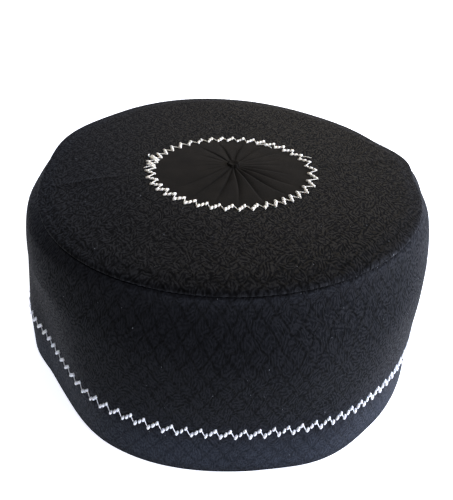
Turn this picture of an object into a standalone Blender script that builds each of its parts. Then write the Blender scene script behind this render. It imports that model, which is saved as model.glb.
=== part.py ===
# A soft black pillbox cap (kufi), standing on its rim: a tall side band, a crown panel with a
# softly raised edge, a pleated round centre and the small knot that its pleats gather into.
# Metres, +Z up. The origin is on the surface it stands on, under the middle of the cap.
# +X is the cap's right as seen from the front, and -Y is its front.

import math
from collections import namedtuple

import bmesh
import bpy
from mathutils import Matrix, Vector

mm = 0.001

# Driving dimensions
capName = "kufi"
pieceGap = 0.3 * mm
bandThickness = 2.6 * mm
crownThickness = 2.4 * mm
centreThickness = 2.4 * mm
edgeRounding = 0.9 * mm

# The cap is a little oval. This is the plan direction of the "along" half widths.
ovalTurn = math.radians(104.0)
# The outline's middle is moved by this much, so that it stands over the origin.
planShift = Vector((0.7, 0.0)) * mm

# The side band's outer face, from the rim up
stitchHeight = 22.0 * mm
seamLevel = 78.1 * mm
Level = namedtuple("Level", "name height along across")
bandLevels = (
    Level("rim", 0.0 * mm, 97.2 * mm, 92.9 * mm),
    Level("stitch line", stitchHeight, 97.0 * mm, 92.3 * mm),
    Level("belly", 52.0 * mm, 97.0 * mm, 89.6 * mm),
    Level("shoulder", 72.0 * mm, 88.4 * mm, 87.6 * mm),
    Level("seam", seamLevel, 88.7 * mm, 82.4 * mm),
)
stitchDent = 0.5 * mm              # the zigzag draws the cloth in this far
stitchDentSpread = 2.4 * mm

# Dents and swellings of the soft wall: where they are, how far they spread each way round the cap,
# between which heights they fade out, and how far they move the cloth outwards
Dent = namedtuple("Dent", "name angle spread low high outward")
bandDents = (
    Dent("hollow, front left", 217, 28, -28 * mm, 57 * mm, -4.3 * mm),
    Dent("rim corner, left", 203, 12, -19 * mm, 47 * mm, 1.4 * mm),
    Dent("rim swelling, front", 250, 26, -28 * mm, 48 * mm, 1.5 * mm),
    Dent("rim corner, front right", 296, 16, -28 * mm, 38 * mm, 1.7 * mm),
    Dent("hollow, right", 342, 40, -28 * mm, 57 * mm, -2.5 * mm),
    Dent("fold corner, right", 15, 17, 57 * mm, 104 * mm, 3.8 * mm),
    Dent("swelling beside the fold corner", 42, 24, 57 * mm, 104 * mm, 0.6 * mm),
    Dent("swelling, back", 118, 30, 57 * mm, 104 * mm, 0.9 * mm),
    Dent("swelling, back left", 155, 24, 57 * mm, 104 * mm, 2.9 * mm),
)

# Where the top seam rises and sags on its way round
Wave = namedtuple("Wave", "name angle spread rise")
seamWaves = (
    Wave("sag, left", 205, 80, -5.0 * mm),
    Wave("rise, front right", 314, 55, 1.6 * mm),
    Wave("rise, back", 98, 50, 1.4 * mm),
)

# The crown panel's top face, from the seam in to the hole that the pleated centre fills:
# the share of the way in, and the height above the seam
CrownRow = namedtuple("CrownRow", "share rise")
crownRows = (
    CrownRow(0.00, 0.0 * mm),
    CrownRow(0.03, 1.2 * mm),
    CrownRow(0.07, 2.2 * mm),
    CrownRow(0.13, 2.9 * mm),
    CrownRow(0.24, 3.0 * mm),
    CrownRow(0.45, 2.9 * mm),
    CrownRow(0.70, 2.7 * mm),
    CrownRow(1.00, 2.5 * mm),
)
seamLean = math.radians(38.0)      # the seam's edges face outwards, this far above the level
seamGroove = 0.8 * mm              # the cloth's edges are rounded down this far at the seam
seamTurn = 1.2 * mm                # from the seam down to where the band's face is whole again

# The fold that the cap is laid flat along: a faint ridge across the crown
foldTurn = math.radians(12.0)
foldRidge = 0.5 * mm
foldRidgeWidth = 5.0 * mm

# The join between the crown panel and the pleated centre is a slight oval, along the fold
joinCentre = Vector((1.35, -0.9)) * mm
joinAlongFold = 35.8 * mm
joinAcrossFold = 33.3 * mm

# The pleated centre rises from its edge to the seat of the knot, and its pleats deepen on the way.
# They meet a little behind the middle of the oval.
pleats = 19
gatherPlace = Vector((2.0, 2.6)) * mm
centreRise = 1.7 * mm
PleatRow = namedtuple("PleatRow", "share fold")
pleatRows = (
    PleatRow(1.00, 0.0 * mm),
    PleatRow(0.90, 0.1 * mm),
    PleatRow(0.75, 0.5 * mm),
    PleatRow(0.58, 0.8 * mm),
    PleatRow(0.42, 1.0 * mm),
    PleatRow(0.27, 1.0 * mm),
    PleatRow(0.17, 0.7 * mm),
    PleatRow(0.12, 0.2 * mm),
)
# Across one pleat: the share of its width, and the share of the fold's depth below the pleat's back
PleatPoint = namedtuple("PleatPoint", "share depth")
pleatPoints = (
    PleatPoint(0.00, 1.0),
    PleatPoint(0.14, 0.25),
    PleatPoint(0.50, 0.0),
    PleatPoint(0.86, 0.25),
)

# The knot
knotRadius = 4.2 * mm
knotHeight = 1.6 * mm
knotLobes = 9
knotLobeDepth = 0.10
knotDimple = 0.5 * mm
knotDimpleSpread = 0.6             # as a share of the knot's radius

# How finely the cloth is faceted
sharpAngle = math.radians(50.0)
bandColumns = 84
knotRows = 8
hemRows = (6.5 * mm, 13.0 * mm, stitchHeight - stitchDentSpread)
wallRows = (stitchHeight, stitchHeight + stitchDentSpread, 34 * mm, 44 * mm, 54 * mm, 62 * mm, 68 * mm,
            72.5 * mm, 75.4 * mm)


def bump(distance, spread):
    """A smooth hill of height 1 that fades to nothing at the spread."""
    if abs(distance) >= spread:
        return 0.0
    return math.cos(0.5 * math.pi * distance / spread) ** 2


def angleFrom(angle, degrees):
    """The angle in degrees between a plan direction in radians and one in degrees, -180 to 180."""
    return (math.degrees(angle) - degrees + 180.0) % 360.0 - 180.0


def smoothValue(knots, x):
    """The value at x of a smooth curve through (x, value) knots."""
    if x <= knots[0][0]:
        return knots[0][1]
    if x >= knots[-1][0]:
        return knots[-1][1]
    slopes = []
    for i in range(len(knots)):
        before, after = knots[max(i - 1, 0)], knots[min(i + 1, len(knots) - 1)]
        slopes.append((after[1] - before[1]) / (after[0] - before[0]))
    for i in range(len(knots) - 1):
        (x0, y0), (x1, y1) = knots[i], knots[i + 1]
        if x <= x1:
            width = x1 - x0
            t = (x - x0) / width
            return (y0 * (1 + 2 * t) * (1 - t) ** 2 + y1 * t * t * (3 - 2 * t)
                    + width * (slopes[i] * t * (1 - t) ** 2 - slopes[i + 1] * t * t * (1 - t)))


def ovalRadius(angle, along, across, turn):
    """The distance from the middle of an oval to its edge, in a plan direction."""
    part = angle - turn
    return along * across / math.hypot(across * math.cos(part), along * math.sin(part))


def bandRadius(angle, height):
    """How far out the side band's outer face is."""
    along = smoothValue([(level.height, level.along) for level in bandLevels], height)
    across = smoothValue([(level.height, level.across) for level in bandLevels], height)
    radius = ovalRadius(angle, along, across, ovalTurn)
    for dent in bandDents:
        middle, reach = 0.5 * (dent.low + dent.high), 0.5 * (dent.high - dent.low)
        fade = math.sqrt(bump(height - middle, reach))
        radius += dent.outward * bump(angleFrom(angle, dent.angle), dent.spread) * fade
    return radius - stitchDent * bump(height - stitchHeight, stitchDentSpread)


def seamHeight(angle):
    """The height of the top seam."""
    return seamLevel + sum(
        wave.rise * bump(angleFrom(angle, wave.angle), wave.spread) for wave in seamWaves)


def outwards(angle):
    return Vector((math.cos(angle), math.sin(angle), 0.0))


def seamPoint(angle, up=0.0, inwards=0.0):
    """A point of the seam, moved up along the cloth and inwards through it."""
    along = outwards(angle) * -math.sin(seamLean) + Vector((0, 0, math.cos(seamLean)))
    through = outwards(angle) * -math.cos(seamLean) - Vector((0, 0, math.sin(seamLean)))
    point = outwards(angle) * bandRadius(angle, seamLevel) + Vector((0, 0, seamHeight(angle)))
    return point + along * up + through * inwards


def bandColumn(angle):
    """The side band's section at one plan direction, as a closed row of points: up outside, down inside."""
    rim = bandRadius(angle, 0.0)
    outer = [(rim - edgeRounding, 0.0), (rim, edgeRounding)]
    outer += [(bandRadius(angle, height), height) for height in hemRows]
    stretch = (seamHeight(angle) - stitchHeight) / (seamLevel - stitchHeight)
    outer += [(bandRadius(angle, height), stitchHeight + (height - stitchHeight) * stretch) for height in wallRows]
    inner = [(rim - bandThickness + edgeRounding, 0.0), (rim - bandThickness, edgeRounding)]
    for i in range(3, len(outer), 2):
        (r0, z0), (r1, z1) = outer[i - 1], outer[min(i + 1, len(outer) - 1)]
        through = bandThickness / math.hypot(r1 - r0, z1 - z0)
        inner.append((outer[i][0] - through * (z1 - z0), outer[i][1] + through * (r1 - r0)))
    face = [outwards(angle) * radius + Vector((0, 0, height)) for radius, height in outer]
    back = [outwards(angle) * radius + Vector((0, 0, height)) for radius, height in reversed(inner)]
    edge = [seamPoint(angle, up=-seamTurn), seamPoint(angle, inwards=seamGroove),
            seamPoint(angle, inwards=bandThickness)]
    return face + edge + back


def joinPoint(angle, inset=0.0):
    """A point of the join round the pleated centre, moved inwards by the inset."""
    radius = ovalRadius(angle, joinAlongFold, joinAcrossFold, foldTurn) - inset
    return joinCentre.to_3d() + outwards(angle) * radius


def foldLift(point):
    """How much the fold's faint ridge lifts the crown at a plan point."""
    across = abs(point.y * math.cos(foldTurn) - point.x * math.sin(foldTurn))
    return foldRidge * max(0.0, 1.0 - across / foldRidgeWidth)


def crownTop(angle, share):
    """A point of the crown panel's top face, a share of the way from the seam to the join."""
    rise = smoothValue([(row.share, row.rise) for row in crownRows], share)
    seam = seamPoint(angle)
    point = seam.lerp(joinPoint(angle), share)
    calm = share * share * (3.0 - 2.0 * share)
    point.z = seam.z * (1.0 - calm) + seamLevel * calm + rise
    point.z += foldLift(point) * bump(share - 0.5, 0.5)
    return point


def crownColumn(angle):
    """The crown panel's section at one plan direction, as a closed row of points: in on top, out underneath."""
    top = [seamPoint(angle, up=pieceGap, inwards=seamGroove)]
    top += [crownTop(angle, row.share) for row in crownRows[1:]]
    under = [seamPoint(angle, up=pieceGap, inwards=crownThickness)]
    under += [crownTop(angle, row.share) - Vector((0, 0, crownThickness)) for row in crownRows[3::2]]
    return top + under[::-1]


def makeMaterial(name, colour, roughness):
    material = bpy.data.materials.new(name)
    material.use_nodes = True
    shader = material.node_tree.nodes["Principled BSDF"]
    shader.inputs["Base Color"].default_value = (*colour, 1.0)
    shader.inputs["Roughness"].default_value = roughness
    shader.inputs["Metallic"].default_value = 0.0
    return material


def addPiece(name, mesh, material, collection):
    mesh.shade_smooth()
    mesh.set_sharp_from_angle(angle=sharpAngle)
    mesh.materials.append(material)
    piece = bpy.data.objects.new(name, mesh)
    piece.location = planShift.to_3d()
    collection.objects.link(piece)
    return piece


def ringOfSections(name, sections):
    """A closed ring of cloth, lofted through closed sections with equal numbers of points."""
    cage = bmesh.new()
    loops = [[cage.verts.new(point) for point in section] for section in sections]
    for one, two in zip(loops, loops[1:] + loops[:1]):
        for i in range(len(one)):
            j = (i + 1) % len(one)
            cage.faces.new((one[i], two[i], two[j], one[j]))
    bmesh.ops.recalc_face_normals(cage, faces=cage.faces)
    mesh = bpy.data.meshes.new(name)
    cage.to_mesh(mesh)
    cage.free()
    return mesh


def roundOfRows(name, rows, topMiddle, underMiddle):
    """A closed round of cloth, lofted through rings from its top's middle round its edge to its underside's."""
    cage = bmesh.new()
    rings = [[cage.verts.new(point) for point in row] for row in rows]
    for one, two in zip(rings, rings[1:]):
        for i in range(len(one)):
            j = (i + 1) % len(one)
            cage.faces.new((one[i], two[i], two[j], one[j]))
    for ring, middle in ((rings[0], topMiddle), (rings[-1], underMiddle)):
        pole = cage.verts.new(middle)
        for i in range(len(ring)):
            cage.faces.new((ring[i], ring[(i + 1) % len(ring)], pole))
    bmesh.ops.recalc_face_normals(cage, faces=cage.faces)
    mesh = bpy.data.meshes.new(name)
    cage.to_mesh(mesh)
    cage.free()
    return mesh


def columnAngles():
    """Plan directions of the cap's columns. One lies on the fold at each end."""
    return [foldTurn + 2.0 * math.pi * i / bandColumns for i in range(bandColumns)]


def addSideBand(material, collection):
    mesh = ringOfSections("side_band", [bandColumn(angle) for angle in columnAngles()])
    return addPiece("side_band", mesh, material, collection)


def addCrownPanel(material, collection):
    mesh = ringOfSections("crown_panel", [crownColumn(angle) for angle in columnAngles()])
    return addPiece("crown_panel", mesh, material, collection)


def centreHeight(share):
    """The height of the pleated centre's top face, without its folds, a share of the way out from the knot."""
    seat = pleatRows[-1].share
    rise = centreRise * (1.0 - max(share - seat, 0.0) / (1.0 - seat))
    return seamLevel + crownRows[-1].rise + rise


def addPleatedCentre(material, collection):
    edge = pleatRows[0]
    folds = [(2.0 * math.pi * (pleat + point.share) / pleats, point.depth)
             for pleat in range(pleats) for point in pleatPoints]
    middle = gatherPlace.to_3d()

    def ring(share, height, fold=0.0):
        points = []
        for angle, depth in folds:
            point = middle.lerp(joinPoint(angle, inset=pieceGap), share)
            point.z = height - fold * depth
            points.append(point)
        return points

    rows = [ring(row.share, centreHeight(row.share), row.fold) for row in reversed(pleatRows)]
    rows.append(ring(edge.share, centreHeight(edge.share) - centreThickness))
    rows.append(ring(0.5, centreHeight(0.5) - centreThickness))
    seat = centreHeight(0.0)
    mesh = roundOfRows("pleated_centre", rows, middle + Vector((0, 0, seat)),
                       middle + Vector((0, 0, seat - centreThickness)))
    return addPiece("pleated_centre", mesh, material, collection)


def addCentreKnot(material, collection):
    cage = bmesh.new()
    bmesh.ops.create_uvsphere(cage, u_segments=knotLobes * 4, v_segments=knotRows, radius=1.0)
    for vertex in cage.verts:
        outward = math.hypot(vertex.co.x, vertex.co.y)
        lobe = 1.0 - knotLobeDepth * (0.5 + 0.5 * math.cos(knotLobes * math.atan2(vertex.co.y, vertex.co.x)))
        vertex.co.x *= knotRadius * lobe
        vertex.co.y *= knotRadius * lobe
        vertex.co.z *= 0.5 * knotHeight
        if vertex.co.z > 0.0:
            vertex.co.z -= knotDimple * bump(outward, knotDimpleSpread)
    bottom = centreHeight(0.0) + pieceGap
    bmesh.ops.transform(cage, matrix=Matrix.Translation((gatherPlace.x, gatherPlace.y, bottom + 0.5 * knotHeight)),
                        verts=cage.verts)
    mesh = bpy.data.meshes.new("centre_knot")
    cage.to_mesh(mesh)
    cage.free()
    return addPiece("centre_knot", mesh, material, collection)


def build():
    for old in list(bpy.data.objects):
        bpy.data.objects.remove(old)
    collection = bpy.data.collections.new(capName)
    bpy.context.scene.collection.children.link(collection)
    patterned = makeMaterial("black_jacquard", (0.012, 0.012, 0.014), 0.75)
    smooth = makeMaterial("black_plain_cloth", (0.014, 0.012, 0.012), 0.85)
    addSideBand(patterned, collection)
    addCrownPanel(patterned, collection)
    addPleatedCentre(smooth, collection)
    addCentreKnot(smooth, collection)


build()
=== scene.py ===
# A soft black kufi standing on its rim: cloth, seams, pleats and white zigzag stitching over the CAD frame.
# Lengths in the dictionaries are in millimetres and angles in degrees. -Y is the cap's front.

import math
from functools import partial

import bmesh
import bpy
import numpy as np
from mathutils import Matrix, Vector


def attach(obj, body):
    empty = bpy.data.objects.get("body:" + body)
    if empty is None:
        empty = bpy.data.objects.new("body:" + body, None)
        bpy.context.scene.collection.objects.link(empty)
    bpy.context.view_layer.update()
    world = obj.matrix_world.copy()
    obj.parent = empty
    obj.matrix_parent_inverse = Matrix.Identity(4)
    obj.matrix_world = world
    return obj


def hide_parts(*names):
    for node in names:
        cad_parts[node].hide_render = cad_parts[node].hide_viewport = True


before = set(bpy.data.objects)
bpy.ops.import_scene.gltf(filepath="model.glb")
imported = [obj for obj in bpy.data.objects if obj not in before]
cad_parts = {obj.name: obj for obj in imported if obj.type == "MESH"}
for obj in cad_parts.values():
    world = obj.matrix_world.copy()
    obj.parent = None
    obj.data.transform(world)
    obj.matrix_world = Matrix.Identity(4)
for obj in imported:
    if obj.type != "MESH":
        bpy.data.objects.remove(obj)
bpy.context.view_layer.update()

mm = 0.001
rootBody = "root"

# The form that the pieces share, as in the part's source. Knots are (place, value).
cap = {
    "shift": (0.7, 0.0),
    "ovalTurn": 104.0,
    "stitchHeight": 22.0,
    "seamLevel": 78.1,
    "along": [(0.0, 97.2), (22.0, 97.0), (52.0, 97.0), (72.0, 88.4), (78.1, 88.7)],
    "across": [(0.0, 92.9), (22.0, 92.3), (52.0, 89.6), (72.0, 87.6), (78.1, 82.4)],
    # dents of the wall: angle, spread, low, high, outward
    "dents": [(217, 28, -28, 57, -4.3), (203, 12, -19, 47, 1.4), (250, 26, -28, 48, 1.5),
              (296, 16, -28, 38, 1.7), (342, 40, -28, 57, -2.5), (15, 17, 57, 104, 3.8),
              (42, 24, 57, 104, 0.6), (118, 30, 57, 104, 0.9), (155, 24, 57, 104, 2.9)],
    # waves of the top seam: angle, spread, rise
    "seamWaves": [(205, 80, -5.0), (314, 55, 1.6), (98, 50, 1.4)],
    "crownRise": [(0.0, 0.0), (0.03, 1.2), (0.07, 2.2), (0.13, 2.9), (0.24, 3.0), (0.45, 2.9),
                  (0.7, 2.7), (1.0, 2.5)],
    "foldTurn": 12.0,
    "joinCentre": (1.35, -0.9),
    "joinAlong": 35.8,
    "joinAcross": 33.3,
    "gatherPlace": (2.0, 2.6),
    "centreRise": 1.7,
    "lineTeeth": 113,           # teeth of the zigzag low on the wall
    "ringTeeth": 40,            # and of the one round the centre
    "seamStitches": 226,        # each draws a small gather
    "columns": 678,             # points round the wall and the crown, six to a tooth
}
joinLevel = cap["seamLevel"] + cap["crownRise"][-1][1]
up = np.array([0.0, 0.0, 1.0])


def bump(distance, spread):
    # a smooth hill of height 1 that fades to nothing at the spread
    return np.where(np.abs(distance) < spread, np.cos(0.5 * np.pi * distance / spread) ** 2, 0.0)


def bell(distance, width):
    # a bell curve of height 1 that is down to about a third at the width
    return np.exp(-(distance / width) ** 2)


def angleFrom(angle, degrees):
    return (np.degrees(angle) - degrees + 180.0) % 360.0 - 180.0


def smoothValue(knots, x):
    # a smooth curve through the knots, the same one as in the part's source
    places, values = np.array(knots, float).T
    order = np.arange(len(places))
    before, after = np.maximum(order - 1, 0), np.minimum(order + 1, len(places) - 1)
    slopes = (values[after] - values[before]) / (places[after] - places[before])
    x = np.clip(x, places[0], places[-1])
    i = np.clip(np.searchsorted(places, x, side="right") - 1, 0, len(places) - 2)
    width = places[i + 1] - places[i]
    t = (x - places[i]) / width
    return (values[i] * (1 + 2 * t) * (1 - t) ** 2 + values[i + 1] * t * t * (3 - 2 * t)
            + width * (slopes[i] * t * (1 - t) ** 2 - slopes[i + 1] * t * t * (1 - t)))


def ovalRadius(angle, along, across, turn):
    part = angle - math.radians(turn)
    return along * across / np.hypot(across * np.cos(part), along * np.sin(part))


def wallRadius(angle, height):
    radius = ovalRadius(angle, smoothValue(cap["along"], height), smoothValue(cap["across"], height),
                        cap["ovalTurn"])
    for place, spread, low, high, outward in cap["dents"]:
        fade = np.sqrt(bump(height - 0.5 * (low + high), 0.5 * (high - low)))
        radius = radius + outward * bump(angleFrom(angle, place), spread) * fade
    return radius


def seamHeight(angle):
    return cap["seamLevel"] + sum(rise * bump(angleFrom(angle, place), spread)
                                  for place, spread, rise in cap["seamWaves"])


def joinOutline(angle, inset=0.0):
    # the join round the pleated centre, in plan
    radius = ovalRadius(angle, cap["joinAlong"], cap["joinAcross"], cap["foldTurn"]) - inset
    return cap["joinCentre"][0] + np.cos(angle) * radius, cap["joinCentre"][1] + np.sin(angle) * radius


def slowWaves(x, y, seed, size):
    # soft unevenness of hand-worked cloth, between about -1 and 1
    dice = np.random.default_rng(seed)
    count = 9
    turns, phases, stretches = [dice.uniform(low, high, count)
                                for low, high in ((0, np.pi), (0, 2 * np.pi), (0.6, 1.7))]
    total = 0.0
    for turn, phase, stretch in zip(turns, phases, stretches):
        total = total + np.sin((x * np.cos(turn) + y * np.sin(turn)) * 2 * np.pi / (size * stretch) + phase)
    return total / (0.5 * count)


def evenAngles(columns, start=0.0):
    return np.radians(start) + 2 * np.pi * np.arange(columns) / columns


def roundPoints(angles, radius, z, middle=(0.0, 0.0)):
    # points at a radius and height round a middle
    return np.stack([middle[0] + np.cos(angles) * radius, middle[1] + np.sin(angles) * radius, z], axis=-1)


def placed(points):
    # points in mm about the oval's middle, as places in the scene
    return (points + np.array([*cap["shift"], 0.0])) * mm


def addObject(name, data):
    thing = bpy.data.objects.new(name, data)
    bpy.context.scene.collection.objects.link(thing)
    return thing


def clothPiece(name, points, shade, paling=0.0, corners=None, poles=()):
    # Makes a piece from a grid of points in mm. Each row is a ring, and the last one joins the first, unless each end
    # has a pole. shade is the painted shade a point gets in a seam or crease, and the other value how far it is
    # painted paler and bluer, both 0 to 1. The cloth's own map is its plan, unless the faces' corners are given.
    rows, columns = points.shape[:2]
    here = np.arange(rows * columns).reshape(rows, columns)
    beside, below = np.roll(here, -1, axis=1), np.roll(here, -1, axis=0)
    quads = np.stack([here, beside, np.roll(below, -1, axis=1), below], axis=-1)
    faces = quads[:rows - bool(len(poles))].reshape(-1, 4).tolist()
    for end, pole in zip((0, -1), range(rows * columns, rows * columns + len(poles))):
        faces += [[first, second, pole] for first, second in zip(here[end].tolist(), beside[end].tolist())]
    points = np.concatenate([points.reshape(-1, 3), np.reshape(poles, (-1, 3))])
    if corners is None:
        corners = points[[index for face in faces for index in face], :2]
    mesh = bpy.data.meshes.new(name)
    mesh.from_pydata(placed(points).tolist(), [], faces)
    mesh.uv_layers.new(name="cloth").data.foreach_set("uv", (corners * mm).ravel())
    for label, values in (("shade", shade), ("paling", paling)):
        known = np.zeros(len(points))
        known[:np.size(values)] = np.clip(np.ravel(values), 0, 1)
        mesh.attributes.new(label, "FLOAT", "POINT").data.foreach_set("value", known)
    cage = bmesh.new()
    cage.from_mesh(mesh)
    bmesh.ops.recalc_face_normals(cage, faces=cage.faces)
    cage.to_mesh(mesh)
    cage.free()
    mesh.shade_smooth()
    return addObject(name, mesh)


def finishPiece(piece, materials=(), nodes=()):
    for material in materials:
        piece.data.materials.append(material)
    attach(piece, rootBody)
    if nodes:
        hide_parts(*nodes)


# Wall
wall = {
    "thickness": 2.6,
    "meanRadius": 94.0,         # turns an angle into a length along the cloth
    "stripLength": 594.0,
    "hemTurn": 0.95,            # roundness of the folded hem
    "hemBack": 0.8,             # how far its inner side rounds, as a share of that
    "hemHeight": 26.0,          # the turned-up hem inside ends here
    "hemStep": 0.7,
    # the edge of that hem: height over its end, and share of the step
    "hemEdge": [(0.5, 0.6), (0.2, 0.15), (-0.4, 0.0)],
    "innerHeights": [22.0, 16.0, 10.0, 5.0, 2.0],
    "stitchDraw": 0.45,         # the zigzag draws the cloth in
    "drawWidth": 1.53,
    "pucker": 0.16,             # small gathers between the zigzag's teeth
    "puckerWidth": 5.1,
    "seamPucker": 0.07,
    "seamPuckerReach": 3.2,
    "grooveDepth": 0.7,         # the cloth turns in at the top seam
    "grooveTurn": 1.5,
    "pullPlace": (291, 64),     # the top seam is pulled in most at the front right: angle, spread
    "leastPull": 0.05,
    "seamEdge": [(0.3, 0.12), (0.7, 0.1), (1.1, -0.2)],    # over the seam's edge: inwards, up
    "seamShadeWidth": 0.7,
    # a band under the seam is painted paler and bluer
    "seamPaling": 0.12,
    "seamPalingWidth": 3.0,
    # painted bounce light from the pale floor, by height: the hem is painted paler and greyish blue
    "hemBounceLight": [(0, 0.3), (1.5, 0.6), (4, 1.0), (9, 0.95), (15, 0.78), (20, 0.5), (25, 0.2), (32, 0.05),
                (40, 0.0), (100, 0.0)],
    "rubbing": 0.12,            # how unevenly it is painted paler, at random
    "rubbingSize": 30.0,
    "unevenness": 0.28,
    "unevenSize": 38.0,
    "unevenPlace": (0.55, 0.62),        # as shares of the height: where it is strongest, how far it fades
    "outerRows": 86,
    "closeRows": 15,            # they lie closer together in a band under the seam
    "closeBand": 4.0,
    "innerRows": 16,
}


def seamPull(angle):
    place, spread = wall["pullPlace"]
    return wall["leastPull"] + (1 - wall["leastPull"]) * bump(angleFrom(angle, place), spread)


def wallOuter(angle, height):
    # the radius and height of the wall's outer face, with its small relief
    top, line = cap["seamLevel"], height - cap["stitchHeight"]
    stretch = (seamHeight(angle) - cap["stitchHeight"]) / (top - cap["stitchHeight"])
    z = np.where(line > 0, cap["stitchHeight"] + line * stretch, height)
    draw = wall["stitchDraw"] * bell(line, wall["drawWidth"])
    gathers = wall["pucker"] * np.sin(angle * cap["lineTeeth"]) * bell(line, wall["puckerWidth"])
    nearSeam = np.exp((height - top) / wall["seamPuckerReach"])
    seamGathers = wall["seamPucker"] * np.sin(angle * cap["seamStitches"]) * nearSeam
    place, spread = wall["unevenPlace"]
    waves = slowWaves(angle * wall["meanRadius"], z, 5, wall["unevenSize"])
    slow = wall["unevenness"] * waves * bump(height - place * top, spread * top)
    turn = np.clip(1 - (top - height) / wall["grooveTurn"], 0, 1)
    groove = wall["grooveDepth"] * seamPull(angle) * turn ** 2
    return wallRadius(angle, height) - draw + gathers + seamGathers + slow - groove, z


def addWall():
    angles = evenAngles(cap["columns"], cap["foldTurn"])
    top, hem, hemEnd, thickness = cap["seamLevel"], wall["hemTurn"], wall["hemHeight"], wall["thickness"]
    band = wall["closeBand"]
    heights = np.concatenate([np.linspace(hem, top - band, wall["outerRows"]),
                              top - band * (1 - np.linspace(0, 1, wall["closeRows"])[1:]) ** 1.4])
    rows = []                   # radii, levels and length along the cloth
    # the folded hem, from underneath to the outer face
    radius, level = wallOuter(angles, hem)
    for turn in np.radians(np.linspace(-90, 0, 6)[:-1]):
        rows.append((radius - hem * (1 - math.cos(turn)), level + hem * math.sin(turn), hem * turn))
    for height in heights:
        rows.append((*wallOuter(angles, height), height - hem))
    # over the seam's edge and down its back
    radius, level = rows[-1][:2]
    for inwards, lift in wall["seamEdge"]:
        rows.append((radius - inwards, level + lift, top + inwards))
    outsideRows = len(rows)
    # down the inside, and over the edge of the turned-up hem to its foot
    inside = [(height, 1.0) for height in np.linspace(top - band, hemEnd + 1.2, wall["innerRows"])]
    inside += [(hemEnd + over, step) for over, step in wall["hemEdge"]]
    inside += [(height, 0.0) for height in (*wall["innerHeights"], hem)]
    lastHeight = top
    for height, step in inside:
        radius, level = wallOuter(angles, height)
        rows.append((radius - thickness + step * wall["hemStep"], level, rows[-1][2] + lastHeight - height))
        lastHeight = height
    radius = rows[-1][0]
    for turn in np.radians((-30, -60, -90)):
        rows.append((radius + hem * wall["hemBack"] * (1 - math.cos(turn)),
                     np.full_like(angles, hem + hem * math.sin(turn)), rows[-1][2] + 0.5))
    radii, levels, lengths = map(np.array, zip(*rows))
    points = roundPoints(angles, radii, levels)
    facing = np.arange(len(rows))[:, None] < outsideRows
    belowSeam = seamHeight(angles) - levels
    # painted shade in the top seam, strongest where it is pulled in
    shade = bell(belowSeam, wall["seamShadeWidth"]) * facing * seamPull(angles)
    # painted paler and bluer: the hem as painted bounce light from the pale floor, and a band under the seam
    paled = np.maximum(smoothValue(wall["hemBounceLight"], levels),
                       wall["seamPaling"] * bell(belowSeam, wall["seamPalingWidth"]))
    waves = slowWaves(angles * wall["meanRadius"], levels, 23, wall["rubbingSize"])
    paling = paled * (1 - wall["rubbing"] + wall["rubbing"] * waves) * facing
    # the wall's strip of cloth, laid flat
    across = np.arange(cap["columns"] + 1) / cap["columns"] * wall["stripLength"]
    flat = np.stack(np.meshgrid(across, np.append(lengths, lengths[-1] + 0.5)), axis=-1)
    corners = np.stack([flat[:-1, :-1], flat[:-1, 1:], flat[1:, 1:], flat[1:, :-1]], axis=2).reshape(-1, 2)
    return clothPiece("side_wall_cloth", points, shade, paling, corners)


# Crown
crown = {
    "thickness": 2.4,
    "foldRidge": 0.6,
    "foldWidth": 2.4,
    "foldPlace": (0.42, 0.5),   # as shares of the way in: where the ridge is highest, how far it fades
    "seamPucker": 0.06,
    "seamPuckerReach": 0.05,    # as a share of the way in
    "ringPucker": 0.10,
    "ringPuckerReach": 0.07,
    # the rolled edge over the seam: how far inwards and above the seam each row lies
    "edgeRoll": [(2.5, -1.2), (1.9, -0.3), (1.35, -0.02), (0.9, 0.08), (0.45, 0.3), (0.15, 0.68), (0.08, 1.1),
                 (0.3, 1.5), (0.8, 1.82), (1.6, 2.08), (2.6, 2.25), (3.8, 2.42)],
    "rollEnd": 0.092,
    "lap": [(0.5, 0.35), (0.6, 1.0)],       # the inner edge under the pleated centre: inwards, down
    "unevenness": 0.25,
    "unevenSize": 34.0,
    "seamShadeWidth": 0.45,
    "joinShade": 0.8,
    "joinShadeWidth": 0.7,
    # the rolled edge is painted paler and bluer
    "edgePaling": 0.08,
    "edgePalingHeight": 1.4,      # the edge is painted palest this high over the seam
    "edgePalingWidth": 3.5,
    "rubbing": 0.4,
    "rubbingSize": 30.0,
    "topRows": 66,
    "underRows": 14,
}


def crownSurface(angle, share):
    # a point of the crown's top face, the share of the way in from the seam
    edge = wallRadius(angle, cap["seamLevel"])
    joinX, joinY = joinOutline(angle)
    x = np.cos(angle) * edge * (1 - share) + joinX * share
    y = np.sin(angle) * edge * (1 - share) + joinY * share
    calm = share * share * (3.0 - 2.0 * share)
    z = seamHeight(angle) * (1 - calm) + cap["seamLevel"] * calm + smoothValue(cap["crownRise"], share)
    turn = math.radians(cap["foldTurn"])
    across = y * math.cos(turn) - x * math.sin(turn)
    place, spread = crown["foldPlace"]
    fold = crown["foldRidge"] * np.exp(-np.abs(across) / crown["foldWidth"]) * bump(share - place, spread)
    slow = crown["unevenness"] * slowWaves(x, y, 11, crown["unevenSize"]) * bump(share - 0.5, 0.5)
    gathers = crown["seamPucker"] * np.sin(angle * cap["seamStitches"]) * np.exp(-share / crown["seamPuckerReach"])
    ring = crown["ringPucker"] * np.sin(angle * cap["ringTeeth"]) * np.exp(-(1 - share) / crown["ringPuckerReach"])
    return np.stack([x, y, z + fold + slow + gathers + ring], axis=-1)


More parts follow.
